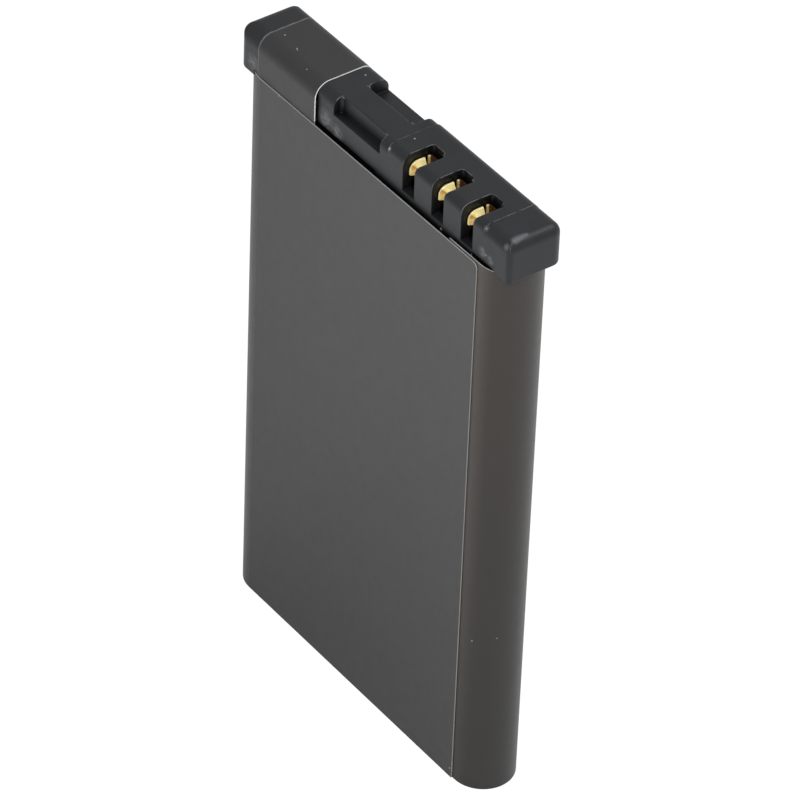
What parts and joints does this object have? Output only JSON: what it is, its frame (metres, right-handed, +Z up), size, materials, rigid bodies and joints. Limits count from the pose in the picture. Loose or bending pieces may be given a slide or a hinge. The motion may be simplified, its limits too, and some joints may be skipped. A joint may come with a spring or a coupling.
{
  "type": "mobile phone battery",
  "caption": "Slim rectangular phone battery: a film-wrapped flat cell with rounded sides and a moulded end cap that holds recessed gold contacts in slots.",
  "frame": {"origin": "centre of the base, on the surface it stands on", "axes": "+Z up towards the capped end, +X along the width towards the contacts, +Y through the thickness towards the plain rear face"},
  "size_m": [0.0346, 0.0056, 0.0555],
  "materials": {
    "label_film": "satin grey film",
    "cap_plastic": "fine satin mould texture, near black",
    "contact_gold": "bright gold plating",
    "can_aluminium": "drawn, satin",
    "natural_plastic": "natural, matte",
    "nickel": "rolled nickel, satin",
    "insulator_fibre": "pressed fibre, matte",
    "board_laminate": "solder mask",
    "chip_resin": "moulded resin, matte",
    "capacitor_ceramic": "fired ceramic, matte",
    "fuse_polymer": "polymer, matte",
    "tape_adhesive": "adhesive sheet, matte"
  },
  "bodies": {
    "root": {"label_wrap": "label_film", "top_cap": "cap_plastic", "contact_left": "contact_gold", "contact_middle": "contact_gold", "contact_right": "contact_gold", "cell_can": "can_aluminium", "terminal_gasket": "natural_plastic", "terminal_rivet": "nickel", "insulator_strip": "insulator_fibre", "circuit_board": "board_laminate", "protection_chip": "chip_resin", "switch_chip": "chip_resin", "sense_resistor": "chip_resin", "id_resistor": "chip_resin", "filter_capacitor": "capacitor_ceramic", "positive_tab": "nickel", "negative_lead": "nickel", "thermal_fuse": "fuse_polymer", "fuse_lead": "nickel", "bottom_tape": "tape_adhesive", "bottom_plate": "cap_plastic"}
  },
  "joints": []
}
